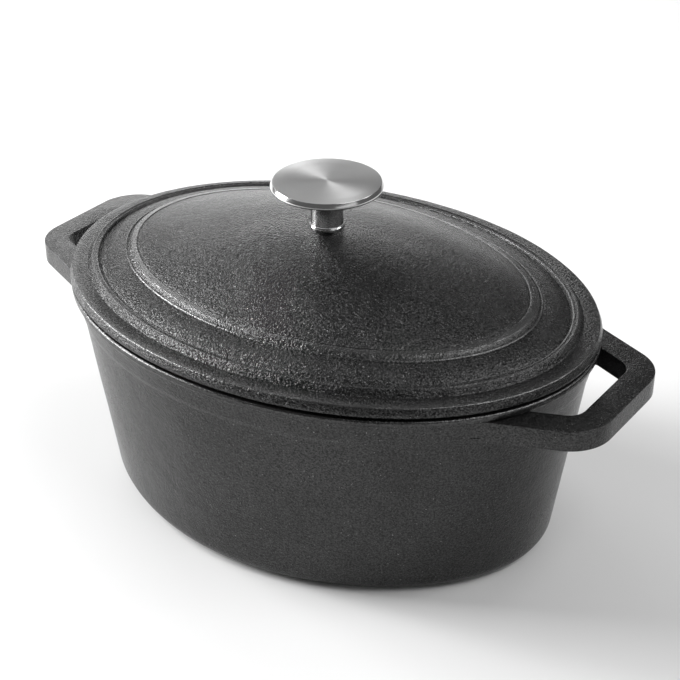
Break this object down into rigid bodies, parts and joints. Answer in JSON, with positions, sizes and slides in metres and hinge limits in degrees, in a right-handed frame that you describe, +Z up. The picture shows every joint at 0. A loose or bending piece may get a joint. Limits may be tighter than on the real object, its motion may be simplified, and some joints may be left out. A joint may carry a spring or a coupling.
{
  "type": "oval dutch oven",
  "caption": "Oval cast iron dutch oven with two loop handles and a lift-off domed lid held by a steel disc knob.",
  "frame": {"origin": "centre of the flat base, on the surface that the pot stands on", "axes": "+Z up through the knob, +X along the long axis of the oval towards one loop handle, +Y across"},
  "size_m": [0.353, 0.226, 0.1784],
  "materials": {
    "pot_iron": "seasoned sand-cast skin, satin, fine pebble grain",
    "lid_iron": "seasoned sand-cast skin, satin, fine pebble grain",
    "knob_brushed": "circular brushed face with a polished bevel",
    "knob_polished": "polished stainless steel",
    "insert_brass": "machined",
    "fastener_steel": "plain stainless fastener"
  },
  "bodies": {
    "pot": {"pot": "pot_iron"},
    "lid": {"lid": "lid_iron", "knob_disc": "knob_brushed", "knob_stem": "knob_polished", "knob_insert": "insert_brass", "knob_screw": "fastener_steel", "flat_washer": "fastener_steel", "lock_washer": "fastener_steel"}
  },
  "joints": [
    {"name": "lid_lift", "type": "slide", "parent": "pot", "child": "lid", "axis": [0, 0, 1], "range_m": [0, 0.12]}
  ]
}
